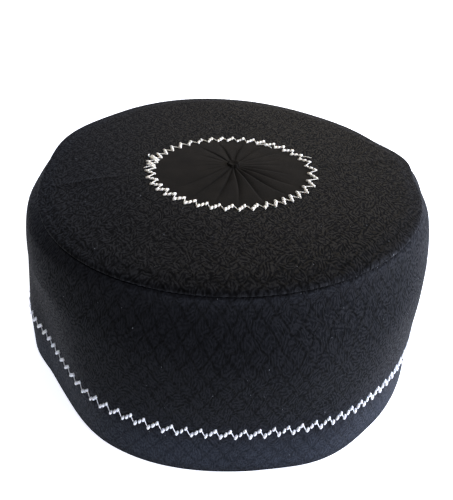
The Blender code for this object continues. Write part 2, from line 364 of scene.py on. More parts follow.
def addCrown():
    angles = evenAngles(cap["columns"], cap["foldTurn"])
    start = crownSurface(angles, 0.0)
    out = roundPoints(angles, 1.0, 0 * angles)
    gathers = (crown["seamPucker"] * np.sin(angles * cap["seamStitches"]))[:, None]
    # the turned edge in the seam, from behind the wall's edge round the roll and up to the face
    rows = [start - out * (inwards + gathers * (lift > 0)) + up * lift for inwards, lift in crown["edgeRoll"]]
    first = crown["rollEnd"]
    shares = first + (1 - first) * np.linspace(0, 1, crown["topRows"]) ** 1.12
    rows += [crownSurface(angles, share) for share in shares]
    outsideRows = len(rows)
    join = rows[-1]
    inwards = (np.array([*cap["joinCentre"], 0.0]) - join) * np.array([1.0, 1.0, 0.0])
    inwards /= np.linalg.norm(inwards, axis=-1, keepdims=True)
    rows += [join + inwards * under - up * down for under, down in crown["lap"]]
    rows += [crownSurface(angles, share) - up * crown["thickness"]
             for share in np.linspace(1.0, 0.06, crown["underRows"])]
    points = np.array(rows)
    order = np.arange(len(rows))[:, None]
    facing = order < outsideRows
    # the first eight rows lie in the seam
    nearSeam = bell(points[:, :, 2] - start[:, 2], crown["seamShadeWidth"]) * (order < 8) * seamPull(angles)
    fromJoin = np.linalg.norm(points[:, :, :2] - join[:, :2], axis=-1)
    # painted shade in the seam and along the join with the pleated centre
    shade = np.maximum(nearSeam, crown["joinShade"] * bell(fromJoin, crown["joinShadeWidth"])) * facing
    # the rolled edge is painted paler and bluer, unevenly
    fromEdge = np.linalg.norm(points - start - up * crown["edgePalingHeight"], axis=-1)
    waves = slowWaves(points[:, :, 0], points[:, :, 1], 29, crown["rubbingSize"])
    rubbed = 1 - crown["rubbing"] + crown["rubbing"] * waves
    paling = crown["edgePaling"] * bell(fromEdge, crown["edgePalingWidth"]) * rubbed * facing
    return clothPiece("crown_cloth", points, shade, paling)


# Pleated centre
centre = {
    "columns": 570,
    "rows": 58,
    "thickness": 2.4,
    "joinGap": 0.12,            # between its edge and the crown's
    "creaseWidth": 0.45,        # the pleat's steep side
    "slopeWidth": 1.5,          # its gentle side
    "creaseShade": 0.55,        # how wide the painted shade in a crease is
    "wander": 1.6,              # how far a crease strays from its angle
    "knotFade": 0.2,            # the creases get shallow within this share of the way out
    "knotShade": 0.3,           # and their painted shade lighter within this one
    "unevenness": 0.12,
    "unevenSize": 17.0,
    "unevenPlace": (0.62, 0.38),        # as shares of the way out: where it is strongest, how far it fades
    "underShares": [0.96, 0.75, 0.5, 0.25, 0.05],
    # the pleats' creases: angle, how far out they reach, depth
    "pleats": [(123, 0.88, 0.6), (103, 0.92, 0.8), (82, 0.9, 0.9), (62, 0.9, 0.8), (44, 0.86, 0.6),
               (28, 0.7, 0.3), (12, 0.66, 0.4), (-6, 0.75, 0.6), (-24, 0.9, 0.85), (-42, 1.0, 0.95),
               (-62, 1.04, 1.0), (-82, 1.06, 1.1), (-100, 1.05, 1.1), (-119, 1.0, 0.9), (-139, 0.85, 0.4),
               (-158, 0.5, 0.15), (-178, 0.5, 0.12), (162, 0.5, 0.12), (142, 0.6, 0.25)],
}


def centreSurface(angle, share):
    # a point of the centre's top face, the share of the way out from the gather, and its painted crease shade
    x, y = joinOutline(angle, inset=centre["joinGap"])
    gatherX, gatherY = cap["gatherPlace"]
    x, y = gatherX + (x - gatherX) * share, gatherY + (y - gatherY) * share
    reach = np.hypot(x - gatherX, y - gatherY)
    z = joinLevel + cap["centreRise"] * (1 - share) ** 1.2
    dark = 0.0
    for place, far, depth in centre["pleats"]:
        stray = centre["wander"] * np.sin(share * 5.0 + place)
        across = np.radians(angleFrom(angle, place + stray)) * reach
        side = np.where(across > 0, centre["slopeWidth"], centre["creaseWidth"])
        fade = np.clip(1 - (share / far) ** 4.0, 0, 1) * np.clip(share / centre["knotFade"], 0, 1)
        z = z - depth * (1 - 0.55 * share) * fade * np.exp(-np.abs(across / side) ** 1.3)
        # painted shade along the crease
        dark = dark + depth * fade ** 0.7 * np.exp(-np.abs(across / centre["creaseShade"]) ** 1.6)
    place, spread = centre["unevenPlace"]
    slow = slowWaves(x, y, 17, centre["unevenSize"]) * centre["unevenness"] * bump(share - place, spread)
    return np.stack([x, y, z + slow], axis=-1), dark * np.clip(share / centre["knotShade"], 0.3, 1)


def addCentre():
    angles = evenAngles(centre["columns"])
    shares = np.linspace(0.02, 1.0, centre["rows"]) ** 1.05
    rows, creases = map(list, zip(*(centreSurface(angles, share) for share in shares)))
    edge = rows[-1]
    rows += [edge - up * down for down in (0.6, centre["thickness"] - 0.4)]
    middle = np.array([*cap["gatherPlace"], 0.0])
    for share in centre["underShares"]:
        under = middle + (edge - middle) * np.array([share, share, 1.0])
        under[:, 2] = joinLevel + cap["centreRise"] * (1 - share) - centre["thickness"]
        rows.append(under)
    poles = [rows[0].mean(axis=0), rows[-1].mean(axis=0)]
    return clothPiece("pleated_centre_cloth", np.array(rows), np.array(creases), poles=poles)


# Knot
knot = {
    "radius": 3.2,
    # height over its seat, by share of the radius: a dimple, the crest and the steep foot
    "profile": [(0.0, 0.15), (0.25, 0.3975), (0.62, 0.7), (0.82, 0.434), (1.0, -0.9)],
    "lobes": 9,
    "lobeDepth": 0.12,
    "lobeSway": 1.3,            # how unevenly they are spaced
    "lobeTwist": 0.8,           # how far they turn from the middle to the foot
    "creaseDepth": 0.18,
    "creaseShade": 0.25,
    "dimpleShade": 0.35,
    "dimpleWidth": 0.35,        # as a share of the radius
    "middleShade": 0.6,
    "lean": 0.3,                # its back stands higher than its front
    "columns": 108,
    "rows": 26,
}


def addKnot():
    seat = joinLevel + cap["centreRise"]
    angles = evenAngles(knot["columns"])
    rows, shades = [], []
    for share in np.linspace(0.06, 1.0, knot["rows"]):
        sway = knot["lobeSway"] * np.sin(2 * angles) + knot["lobeTwist"] * share
        gather = 0.5 + 0.5 * np.cos(knot["lobes"] * angles + sway)
        radius = knot["radius"] * share * (1 - knot["lobeDepth"] * gather ** 2 * share)
        crease = knot["creaseDepth"] * gather ** 3 * np.clip(share * 2.2, 0, 1)
        z = seat + smoothValue(knot["profile"], share) - crease + knot["lean"] * np.sin(angles) * share
        rows.append(roundPoints(angles, radius, z, cap["gatherPlace"]))
        dimple = np.clip(1 - share / knot["dimpleWidth"], 0, 1)
        # painted shade in the gathers' creases and in the dimple
        shades.append(knot["creaseShade"] * gather ** 3 + knot["dimpleShade"] * dimple)
    poles = [(*cap["gatherPlace"], seat + knot["profile"][end][1]) for end in (0, -1)]
    shade = np.append(shades, [knot["middleShade"], 0.0])       # the last two are the poles'
    return clothPiece("centre_knot_cloth", np.array(rows), shade, poles=poles)


# Materials
def hexColour(text):
    # an sRGB hex colour as linear values with alpha
    values = [int(text[i:i + 2], 16) / 255 for i in (1, 3, 5)]
    return [*(v / 12.92 if v <= 0.04045 else ((v + 0.055) / 1.055) ** 2.4 for v in values), 1.0]


def addNode(tree, kind, inputs=(), **settings):
    # Adds a node, sets it up and fills its inputs with values, nodes (their first output) or sockets. The kind may go
    # without its family's name, and with its operation behind it, as in "Math ADD". A MapRange's list of inputs is its
    # value, the lowest and highest value before, and the same two after.
    kind, _, operation = kind.partition(" ")
    family = next(name for name in ("ShaderNode", "GeometryNode", "FunctionNode", "")
                  if hasattr(bpy.types, name + kind))
    node = tree.nodes.new(family + kind)
    node.location.x = 190.0 * len(tree.nodes)
    if operation:
        settings["operation"] = operation
    for setting, value in settings.items():
        setattr(node, setting, value)
    for key, value in inputs.items() if isinstance(inputs, dict) else enumerate(inputs):
        if isinstance(value, bpy.types.Node):
            value = value.outputs[0]
        if isinstance(value, bpy.types.NodeSocket):
            tree.links.new(value, node.inputs[key])
        elif value is not None:
            node.inputs[key].default_value = value
    return node


def newMaterial(name):
    material = bpy.data.materials.new(name)
    material.use_nodes = True
    material.node_tree.nodes.clear()
    return material, partial(addNode, material.node_tree)


jacquard = {
    "stretch": 0.66,            # the figures are 1.5 times as tall as wide
    "cellWidth": 6.6,           # the diamond lattice: 90 diamonds make the wall's 594 mm
    "cellHeight": 6.2,
    "latticeWidth": 0.15,       # its lines, as a share of a cell
    "latticeShare": 0.4,        # the share of the colour that is left in them
    "patchWidth": 3.0,          # short strokes run side by side in small patches
    "strokeSpacing": 0.98,
    "strokeLength": 1.15,
    "strokeBreaks": 8.5,        # how strongly chance parts and joins them
    "strokeEdge": 1.4,          # how soft their edges are
    "yarnSpacing": 0.45,        # real yarns are about 0.25 mm apart, drawn coarser so that they show
    "yarnShares": (0.6, 1.4),   # the darkest and the lightest, as shares of the colour
    "wander": 0.8,
    "colour": "#0e0f12",
    "paled": "#22262e",
    "groundShare": 0.82,        # painted sheen: the ground weave is drawn darker than the colour, the figure lighter
    "figureShare": 1.29,
    # the crown lies flat: its figure's painted sheen is drawn stronger and its black more neutral
    "crown": {"latticeShare": 0.12, "groundShare": 0.5, "figureShare": 1.64, "colour": "#0f0f10",
              "strokeSpacing": 1.12, "strokeLength": 1.35},
    "paledPattern": 0.5,        # how much of the pattern is lost where the cloth is painted paler
    "seamShare": 0.15,          # the share of the colour that is left under the painted shade deep in a seam
    "lint": "#9a9da3",
    "lintCells": 0.17,          # to a millimetre
    "lintLuck": 0.3,            # the share of the cells that hold a speck
    "lintSize": 0.03,           # the largest speck's radius, as a share of a cell
    "lintShare": 0.35,          # how much of the lint's colour a speck has
    "relief": 0.2,              # how high the figure is drawn
    "yarnRelief": 0.5,          # and the yarns on top of it, as a share of that
    "roughness": (0.92, 0.62),  # of the ground weave and of the figure
    "shader": {"IOR": 1.5, "Specular IOR Level": 0.06, "Sheen Weight": 0.025, "Sheen Roughness": 0.35},
    "sheenTint": "#b9c6e0",
}


def jacquardMaterial(name, **changes):
    # Cotton-blend jacquard: matt ground weave, slightly glossier raised figure in the same black, whose sheen
    # is also painted into the colour as a lighter figure, with a little lint on it
    material, add = newMaterial(name)
    size = dict(jacquard, **changes)
    place = add("VectorMath MULTIPLY", [add("UVMap", uv_map="cloth"), (1000, 1000 * size["stretch"], 1000)])
    drift = add("TexNoise", {"Vector": place, "Scale": 0.3, "Detail": 1.0}, noise_dimensions="2D")
    centred = add("VectorMath SUBTRACT", [drift.outputs["Color"], (0.5, 0.5, 0.5)])
    scaled = add("VectorMath SCALE", {0: centred, "Scale": size["wander"] * 2})
    moved = add("VectorMath ADD", [place, scaled])
    axes = add("SeparateXYZ", [moved])
    across = add("Math MULTIPLY", [axes.outputs["X"], 1 / size["cellWidth"]])
    upward = add("Math MULTIPLY", [axes.outputs["Y"], 1 / size["cellHeight"]])
    # a faint dark line along the diamonds' edges
    fromOne, fromTwo = [add("Math PINGPONG", [add(slope, [across, upward]), 0.5])
                        for slope in ("Math ADD", "Math SUBTRACT")]
    fromEdge = add("Math MINIMUM", [fromOne, fromTwo])
    lattice = add("MapRange", [fromEdge, 0.0, size["latticeWidth"], size["latticeShare"]],
                  interpolation_type="SMOOTHSTEP")
    # the strokes of each patch have a direction of their own
    patches = add("TexVoronoi", {"Vector": moved, "Scale": 1 / size["patchWidth"]}, voronoi_dimensions="2D")
    chance = add("SeparateColor", [patches.outputs["Color"]])
    angle = add("Math MULTIPLY", [chance, math.pi])
    turned = add("VectorRotate", {"Vector": moved, "Angle": angle}, rotation_type="Z_AXIS")
    strokePlace = add("SeparateXYZ", [turned])
    strokes = add("Math SINE", [add("Math MULTIPLY", [strokePlace, 2 * math.pi / size["strokeSpacing"]])])
    # and come in short lengths
    crosswise = add("Math MULTIPLY", [strokePlace, 1.25 / size["strokeSpacing"]])
    lengthwise = add("Math MULTIPLY", [strokePlace.outputs["Y"], 1 / size["strokeLength"]])
    breakPlace = add("CombineXYZ", [crosswise, lengthwise])
    breaks = add("TexNoise", {"Vector": breakPlace, "Scale": 1.0, "Detail": 1.0}, noise_dimensions="2D")
    holding = add("Math MULTIPLY_ADD", [breaks, size["strokeBreaks"], -0.5 * size["strokeBreaks"]])
    motif = add("Math ADD", [strokes, holding])
    raised = add("MapRange", [motif, -size["strokeEdge"], size["strokeEdge"]], interpolation_type="SMOOTHSTEP")
    # yarns: short uneven grains along and across the cloth
    yarnPlace = add("VectorMath MULTIPLY", [place, (1.0, 0.55, 1.0)])
    yarns = add("TexNoise", {"Vector": yarnPlace, "Scale": 1 / size["yarnSpacing"], "Detail": 2.0,
                             "Roughness": 0.6}, noise_dimensions="2D")
    grain = add("MapRange", [yarns, 0.3, 0.7, *size["yarnShares"]])
    # colour: painted paler and bluer where marked, with the pattern weaker there, and painted shade in the seams
    paler = add("Attribute", attribute_name="paling").outputs["Fac"]
    deep = add("Attribute", attribute_name="shade").outputs["Fac"]
    paled = add("Mix", {"Factor": paler, "A": hexColour(size["colour"]), "B": hexColour(size["paled"])},
                data_type="RGBA")
    # painted sheen: the figure is drawn lighter than the ground
    woven = add("MapRange", [raised, 0.0, 1.0, size["groundShare"], size["figureShare"]])
    drawn = add("Math MULTIPLY", [woven, lattice])
    weaker = add("Math MULTIPLY", [paler, size["paledPattern"]])
    lined = add("Mix", {"Factor": weaker, "A": drawn, "B": 0.9})
    # painted shade deep in the seams
    lit = add("Math MULTIPLY", [lined, add("MapRange", [deep, 0.0, 1.0, 1.0, size["seamShare"]])])
    amount = add("Math MULTIPLY", [grain, lit])
    grained = add("VectorMath SCALE", {0: paled.outputs[2], "Scale": amount})
    # lint: some cells hold a speck
    specks = add("TexVoronoi", {"Vector": place, "Scale": size["lintCells"], "Randomness": 1.0},
                 voronoi_dimensions="2D")
    luck = add("SeparateColor", [specks.outputs["Color"]])
    reach = add("Math MULTIPLY", [luck.outputs[1], size["lintSize"]])
    near = add("Math LESS_THAN", [specks.outputs["Distance"], reach])
    lint = add("Math MULTIPLY", [near, add("Math LESS_THAN", [luck, size["lintLuck"]])])
    lintShare = add("Math MULTIPLY", [lint, size["lintShare"]])
    coloured = add("Mix", {"Factor": lintShare, "A": grained, "B": hexColour(size["lint"])}, data_type="RGBA")
    shine = add("MapRange", [raised, 0.0, 1.0, *size["roughness"]])
    relief = add("Math ADD", [raised, add("Math MULTIPLY", [yarns, size["yarnRelief"]])])
    surface = add("Bump", {"Strength": 0.35, "Distance": size["relief"] * mm, "Height": relief})
    shader = add("BsdfPrincipled", {"Base Color": coloured.outputs[2], "Roughness": shine, "Normal": surface,
                                    "Sheen Tint": hexColour(size["sheenTint"]), **size["shader"]})
    add("OutputMaterial", [shader])
    return material


plainCloth = {
    "colour": "#110f0c",
    "thin": "#181511",
    "yarnSpacing": 0.5,         # a fine plain weave of about 0.2 mm, drawn coarser
    "slubs": 1.3,               # uneven places in the yarns, to a millimetre
    "mottle": 0.12,             # thin patches, to a millimetre
    "creaseShare": 0.32,        # the share of the colour that is left under the painted shade in a crease
    "relief": 0.12,
    "roughness": (0.8, 0.95),
    "shader": {"IOR": 1.5, "Specular IOR Level": 0.06, "Sheen Weight": 0.02, "Sheen Roughness": 0.5},
    "sheenTint": "#d6cfc8",
}


def plainClothMaterial():
    # Fine plain-woven cotton, a warm washed-out black: matt, with a soft fuzz that greys at the edges
    material, add = newMaterial("black plain cotton")
    place = add("VectorMath MULTIPLY", [add("UVMap", uv_map="cloth"), (1000, 1000, 1000)])
    warp, weft = [add("TexWave", {"Vector": place, "Scale": 0.5 / plainCloth["yarnSpacing"], "Distortion": 1.2,
                                  "Detail": 1.0}, bands_direction=direction) for direction in "XY"]
    weave = add("Math MULTIPLY", [warp.outputs[1], weft.outputs[1]])
    slubs, mottle = [add("TexNoise", {"Vector": place, "Scale": scale, "Detail": 3.0}, noise_dimensions="2D")
                     for scale in (plainCloth["slubs"], plainCloth["mottle"])]
    paler = add("MapRange", [mottle, 0.35, 0.7])
    colour = add("Mix", {"Factor": paler, "A": hexColour(plainCloth["colour"]), "B": hexColour(plainCloth["thin"])},
                 data_type="RGBA")
    grain = add("MapRange", [slubs, 0.3, 0.7, 0.85, 1.15])
    grained = add("VectorMath SCALE", {0: colour.outputs[2], "Scale": grain})
    # painted shade in the pleats' creases and round the knot
    crease = add("Attribute", attribute_name="shade")
    shade = add("MapRange", [crease.outputs["Fac"], 0.0, 1.0, 1.0, plainCloth["creaseShare"]])
    shaded = add("VectorMath SCALE", {0: grained, "Scale": shade})
    relief = add("Math ADD", [slubs, weave])
    surface = add("Bump", {"Strength": 0.5, "Distance": plainCloth["relief"] * mm, "Height": relief})
    shine = add("MapRange", [slubs, 0.0, 1.0, *plainCloth["roughness"]])
    shader = add("BsdfPrincipled", {"Base Color": shaded, "Roughness": shine, "Normal": surface,
                                    "Sheen Tint": hexColour(plainCloth["sheenTint"]), **plainCloth["shader"]})
    add("OutputMaterial", [shader])
    return material


thread = {
    # a ply's crest and the groove beside it, which is painted darker as shade
    "ringColours": ("#fffaee", "#d2c9b2"),
    "lineColours": ("#fafcff", "#bcc2ce"),
    "relief": 0.12,
    "shader": {"Roughness": 0.75, "IOR": 1.5, "Specular IOR Level": 0.3, "Subsurface Weight": 0.15,
               "Subsurface Radius": (0.0006, 0.0005, 0.0004), "Subsurface Scale": 1.0, "Sheen Weight": 0.2},
}


def threadMaterial(name, light, dark):
    # Twisted cotton thread: matt white fibres, with painted shade in the grooves between the plies
    material, add = newMaterial(name)
    strand = add("Attribute", attribute_name="strand")
    axes = add("SeparateXYZ", [strand.outputs["Vector"]])
    along = add("Math MULTIPLY", [axes.outputs["X"], 3.0])
    twist = add("Math MULTIPLY_ADD", [axes.outputs["Y"], 2.0, along])
    plies = add("Math SINE", [add("Math MULTIPLY", [twist, 2 * math.pi])])
    ply = add("MapRange", [plies, -1.0, 0.3], interpolation_type="SMOOTHSTEP")
    colour = add("Mix", {"Factor": ply, "A": hexColour(dark), "B": hexColour(light)}, data_type="RGBA")
    surface = add("Bump", {"Strength": 0.6, "Distance": thread["relief"] * mm, "Height": ply})
    shader = add("BsdfPrincipled", {"Base Color": colour.outputs[2], "Normal": surface, **thread["shader"]})
    add("OutputMaterial", [shader])
    return material


# Zigzag stitching
zigzag = {
    "halfWidth": 1.4,           # from the line's middle to a tip bead's middle
    "beadLength": 2.3,
    "beadRadius": 0.59,
    "threadRadius": 0.16,
    "lift": 0.28,               # how high a stitch stands over the cloth
    "jitter": 0.12,
    "thickShare": 0.57,         # from the first bead's middle to the last one's, as a share of a tooth
    "beadLean": 0.08,           # how far a bead leans along the line, as a share of a tooth
    "bareReach": 0.7,           # where on the tip beads the bare thread starts: 0 their middle, 1 their end
    # what differs in the ring
    "ring": {"halfWidth": 1.45, "beadLength": 2.35, "beadRadius": 0.64, "threadRadius": 0.2, "thickShare": 0.47,
             "beadLean": 0.07, "bareReach": 0.8},
    "ringStart": 267.0,         # an outer tip of the ring lies here
    # how wide the ring's teeth are, by plan direction: wide at the right, where it was sewn faster
    "toothWidths": [(0, 8.0), (22, 7.6), (36, 5.6), (60, 5.1), (90, 4.9), (130, 5.4), (155, 4.9), (178, 6.0),
                    (200, 6.0), (215, 5.1), (245, 5.3), (285, 5.2), (297, 4.4), (312, 4.1), (325, 5.2),
                    (338, 6.5), (360, 8.0)],
    # the second row of stitches at the ring's left end: its first tooth, how many, how far outside
    "overlap": (28.6, 2, 0.8),
    "lineStart": 268.0,
    # loose thread ends at the ring: name, thread radius, plan position and height over the join
    "looseEnds": [("loose_end_left", 0.26, [(-30.6, 5.9, 0.1), (-32.0, 5.8, 0.9), (-34.2, 6.4, 1.1),
                                            (-35.6, 7.5, 1.0), (-36.3, 9.4, 0.7), (-36.0, 10.9, 0.4)]),
                  ("loose_end_right", 0.16, [(34.6, 16.8, 0.2), (36.0, 16.0, 0.8), (37.4, 15.5, 0.7),
                                             (38.7, 15.2, 0.4)]),
                  ("loose_end_back", 0.18, [(13.2, 27.6, 0.2), (15.4, 27.0, 0.9), (17.2, 27.4, 1.0),
                                            (19.4, 25.2, 0.8), (20.6, 24.6, 0.3)])],
}


def newTree(name, result, sockets):
    # a geometry tree with named inputs
    tree = bpy.data.node_groups.new(name, "GeometryNodeTree")
    for label, kind in sockets:
        tree.interface.new_socket(label, in_out="INPUT", socket_type="NodeSocket" + kind)
    tree.interface.new_socket(result, in_out="OUTPUT", socket_type="NodeSocketGeometry")
    add = partial(addNode, tree)
    return tree, add, add("NodeGroupInput").outputs


def finishTree(add, mesh, material):
    real = add("RealizeInstances", [add("SetShadeSmooth", {"Geometry": mesh})])
    add("NodeGroupOutput", [add("SetMaterial", {"Geometry": real, "Material": material})])


def zigzagTree():
    # Walks a curve, finds each stitch's two needle holes on the cloth beside it and spans a thread between them.
    # Each tooth has three fat stitches up one leg and one bare thread down the other. The curve has a point for
    # each stitch, whose radius is the width of its tooth.
    sizes = ("Half Width", "Thick Share", "Bead Lean", "Bare Reach", "Bead Length", "Bead Radius",
             "Thread Radius", "Lift", "Jitter")
    tree, add, given = newTree("zigzag stitching", "Stitches", [
        ("Path", "Geometry"), ("Cloth", "Object"), ("Other Cloth", "Object"),
        *((label, "Float") for label in sizes), ("Seed", "Int"), ("Thread", "Material")])
    ground = add("JoinGeometry")
    for label in ("Cloth", "Other Cloth"):
        cloth = add("GeometryNodeObjectInfo", {"Object": given[label]}, transform_space="RELATIVE")
        tree.links.new(cloth.outputs["Geometry"], ground.inputs[0])
    walk = add("CurveToPoints", {"Curve": given["Path"]}, mode="EVALUATED")
    tangent = walk.outputs["Tangent"]
    toothWidth, spot, facing = add("InputRadius"), add("InputPosition"), add("InputNormal")
    turnOfFour = add("Math MODULO", [add("InputIndex"), 4.0])
    normalHere = add("SampleNearestSurface", {"Mesh": ground, "Value": facing, "Sample Position": spot},
                     data_type="FLOAT_VECTOR")
    side = add("VectorMath NORMALIZE", [add("VectorMath CROSS_PRODUCT", [normalHere, tangent])])
    # the beads are spread over their leg's share of a tooth, and the bare thread's middle is halfway along the rest
    halfShare = add("Math MULTIPLY_ADD", [given["Thick Share"], 0.5, -0.25])
    slide, throw = add("IndexSwitch", data_type="FLOAT"), add("IndexSwitch", data_type="FLOAT")
    for switch, values in ((slide, (0.0, 1.0, 2.0, 1.0)), (throw, (-1.0, 0.0, 1.0, 0.0))):
        while len(switch.index_switch_items) < 4:
            switch.index_switch_items.new()
        tree.links.new(turnOfFour.outputs[0], switch.inputs[0])
        for i, value in enumerate(values):
            switch.inputs[i + 1].default_value = value
    slideLength = add("Math MULTIPLY", [add("Math MULTIPLY", [slide, halfShare]), toothWidth])
    throwLength = add("Math MULTIPLY", [throw, given["Half Width"]])
    alongMove = add("VectorMath SCALE", {0: tangent, "Scale": slideLength})
    sideMove = add("VectorMath SCALE", {0: side, "Scale": throwLength})
    target = add("VectorMath ADD", [spot, add("VectorMath ADD", [alongMove, sideMove])])
    lessJitter = add("Math MULTIPLY", [given["Jitter"], -1.0])
    low, high = [add("CombineXYZ", [size] * 3) for size in (lessJitter, given["Jitter"])]
    shake = add("RandomValue", {"Min": low, "Max": high, "Seed": given["Seed"]}, data_type="FLOAT_VECTOR")
    aimed = add("VectorMath ADD", [target, shake])
    # a bead leans along the line, and the bare thread crosses from one tip to the next
    isBare = add("Compare GREATER_THAN", {"A": turnOfFour, "B": 2.5}, data_type="FLOAT")
    lean = add("Math MULTIPLY", [toothWidth, given["Bead Lean"]])
    leanVector = add("VectorMath SCALE", {0: tangent, "Scale": lean})
    riseVector = add("VectorMath SCALE", {0: side, "Scale": given["Half Width"]})
    heading = add("VectorMath NORMALIZE", [add("VectorMath ADD", [leanVector, riseVector])])
    bareShare = add("Math SUBTRACT", [1.0, given["Thick Share"]])
    bareRun = add("Math MULTIPLY", [bareShare, toothWidth])
    bareRunVector = add("VectorMath SCALE", {0: tangent, "Scale": bareRun})
    fallVector = add("VectorMath SCALE", {0: riseVector, "Scale": -2.0})
    middles = add("VectorMath ADD", [bareRunVector, fallVector])
    beadPart = add("Math MULTIPLY", [given["Bead Length"], given["Bare Reach"]])
    beadEnds = add("VectorMath SCALE", {0: heading, "Scale": beadPart})
    bareWhole = add("VectorMath SUBTRACT", [middles, beadEnds])
    beadWhole = add("VectorMath SCALE", {0: heading, "Scale": given["Bead Length"]})
    whole = add("Switch", {"Switch": isBare, "False": beadWhole, "True": bareWhole}, input_type="VECTOR")
    reach = add("VectorMath SCALE", {0: whole, "Scale": 0.5})
    holes = [add("SampleNearestSurface", {"Mesh": ground, "Value": spot, "Sample Position": hole},
                 data_type="FLOAT_VECTOR")
             for hole in (add("VectorMath SUBTRACT", [aimed, reach]), add("VectorMath ADD", [aimed, reach]))]
    normalThere = add("SampleNearestSurface", {"Mesh": ground, "Value": facing, "Sample Position": aimed},
                      data_type="FLOAT_VECTOR")
    thickness = add("Switch", {"Switch": isBare, "False": given["Bead Radius"], "True": given["Thread Radius"]},
                    input_type="FLOAT")
    uneven = add("RandomValue", {2: 0.88, 3: 1.12, "Seed": given["Seed"]}, data_type="FLOAT")
    fat = add("Math MULTIPLY", [thickness, uneven.outputs[1]])
    kept = add("CaptureAttribute", {"Geometry": walk}, domain="POINT")
    for label, kind, source in (("Start", "VECTOR", holes[0]), ("End", "VECTOR", holes[1]),
                                ("Facing", "VECTOR", normalThere), ("Fat", "FLOAT", fat)):
        kept.capture_items.new(kind, label)
        tree.links.new(source.outputs[0], kept.inputs[label])
    line = add("CurvePrimitiveLine", {"End": (0.001, 0.0, 0.0)})
    strandLine = add("ResampleCurve", {"Curve": line, "Count": 8})
    loose = add("RealizeInstances", [add("InstanceOnPoints", {"Points": kept, "Instance": strandLine})])
    # the thread arches from hole to hole, and is thin where it dives into the cloth
    along = add("SplineParameter").outputs["Factor"]
    span = add("VectorMath SUBTRACT", [kept.outputs["End"], kept.outputs["Start"]])
    level = add("VectorMath ADD", [kept.outputs["Start"], add("VectorMath SCALE", {0: span, "Scale": along})])
    swell = add("Math SINE", [add("Math MULTIPLY", [along, math.pi])])
    soft = add("Math POWER", [swell, 0.5])
    height = add("Math MULTIPLY", [soft, given["Lift"]])
    raisedBy = add("VectorMath SCALE", {0: kept.outputs["Facing"], "Scale": height})
    strung = add("SetPosition", {"Geometry": loose, "Position": add("VectorMath ADD", [level, raisedBy])})
    taper = add("Math MULTIPLY_ADD", [soft, 0.75, 0.25])
    thick = add("Math MULTIPLY", [taper, kept.outputs["Fat"]])
    # where a point lies along and round the thread, in twists of 2 mm and turns, for the thread's material
    alongStrand = add("CaptureAttribute", {"Geometry": strung}, domain="POINT")
    alongStrand.capture_items.new("FLOAT", "Along")
    spanLength = add("VectorMath LENGTH", [span])
    twists = add("Math DIVIDE", [spanLength.outputs["Value"], 0.002])
    tree.links.new(add("Math MULTIPLY", [along, twists]).outputs[0], alongStrand.inputs["Along"])
    ring = add("CurvePrimitiveCircle", {"Resolution": 8, "Radius": 1.0}, mode="RADIUS")
    roundStrand = add("CaptureAttribute", {"Geometry": ring}, domain="POINT")
    roundStrand.capture_items.new("FLOAT", "Round")
    tree.links.new(add("SplineParameter").outputs["Factor"], roundStrand.inputs["Round"])
    swept = add("CurveToMesh", {"Curve": alongStrand, "Profile Curve": roundStrand, "Scale": thick,
                                "Fill Caps": True})
    strand = add("CombineXYZ", [alongStrand.outputs["Along"], roundStrand.outputs["Round"], 0.0])
    marked = add("StoreNamedAttribute", {"Geometry": swept, "Name": "strand", "Value": strand},
                 data_type="FLOAT_VECTOR", domain="POINT")
    finishTree(add, marked, given["Thread"])
    return tree


def threadTree():
    # a bare thread along a curve
    tree, add, given = newTree("bare thread", "Strand", [("Path", "Geometry"), ("Radius", "Float"),
                                                         ("Thread", "Material")])
    even = add("ResampleCurve", {"Curve": given["Path"], "Count": 24})
    profile = add("CurvePrimitiveCircle", {"Resolution": 8, "Radius": given["Radius"]}, mode="RADIUS")
    swept = add("CurveToMesh", {"Curve": even, "Profile Curve": profile, "Fill Caps": True})
    finishTree(add, swept, given["Thread"])
    return tree


def pathCurve(name, points, cyclic, widths=None):
    curve = bpy.data.curves.new(name, "CURVE")
    curve.dimensions = "3D"
    spline = curve.splines.new("POLY")
    spline.points.add(len(points) - 1)
    for spot, point in zip(spline.points, points):
        spot.co = (*point, 1.0)
    if widths is not None:
        spline.points.foreach_set("radius", widths)
    spline.use_cyclic_u = cyclic
    return addObject(name, curve)


def bakeNodes(name, path, tree, values):
    # runs the node tree on the path and keeps the result as a plain mesh
    modifier = path.modifiers.new(tree.name, "NODES")
    modifier.node_group = tree
    for socket in tree.interface.items_tree:
        if socket.in_out == "INPUT" and socket.name in values:
            modifier[socket.identifier] = values[socket.name]
    graph = bpy.context.evaluated_depsgraph_get()
    graph.update()
    mesh = bpy.data.meshes.new_from_object(path.evaluated_get(graph), depsgraph=graph)
    mesh.name = name
    piece = addObject(name, mesh)
    path.modifiers.remove(modifier)
    bpy.data.objects.remove(path)
    return piece


def stitchPath(name, points, cyclic, tree, cloths, material, seed, **changes):
    # sews along the points, four for each tooth
    size = dict(zigzag, **changes)
    steps = np.linalg.norm(np.diff(points, axis=0, append=[points[0]]), axis=-1)
    if not cyclic:
        steps[-1] = steps[-2]
    path = pathCurve(name + " path", points, cyclic, 4 * steps)
    return bakeNodes(name, path, tree, {
        "Cloth": cloths[0], "Other Cloth": cloths[1], "Half Width": size["halfWidth"] * mm,
        "Thick Share": size["thickShare"], "Bead Lean": size["beadLean"], "Bare Reach": size["bareReach"],
        "Bead Length": size["beadLength"] * mm, "Bead Radius": size["beadRadius"] * mm,
        "Thread Radius": size["threadRadius"] * mm, "Lift": size["lift"] * mm, "Jitter": size["jitter"] * mm,
        "Seed": seed, "Thread": material})


def looseThread(name, tree, points, radius, material):
    # a thread end lying on the crown, through points given by plan position and height over the join
    path = pathCurve(name + " path", [(x * mm, y * mm, (joinLevel + lift) * mm) for x, y, lift in points], False)
    path.data.splines[0].type = "NURBS"
    path.data.splines[0].use_endpoint_u = True
    return bakeNodes(name, path, tree, {"Radius": radius * mm, "Thread": material})


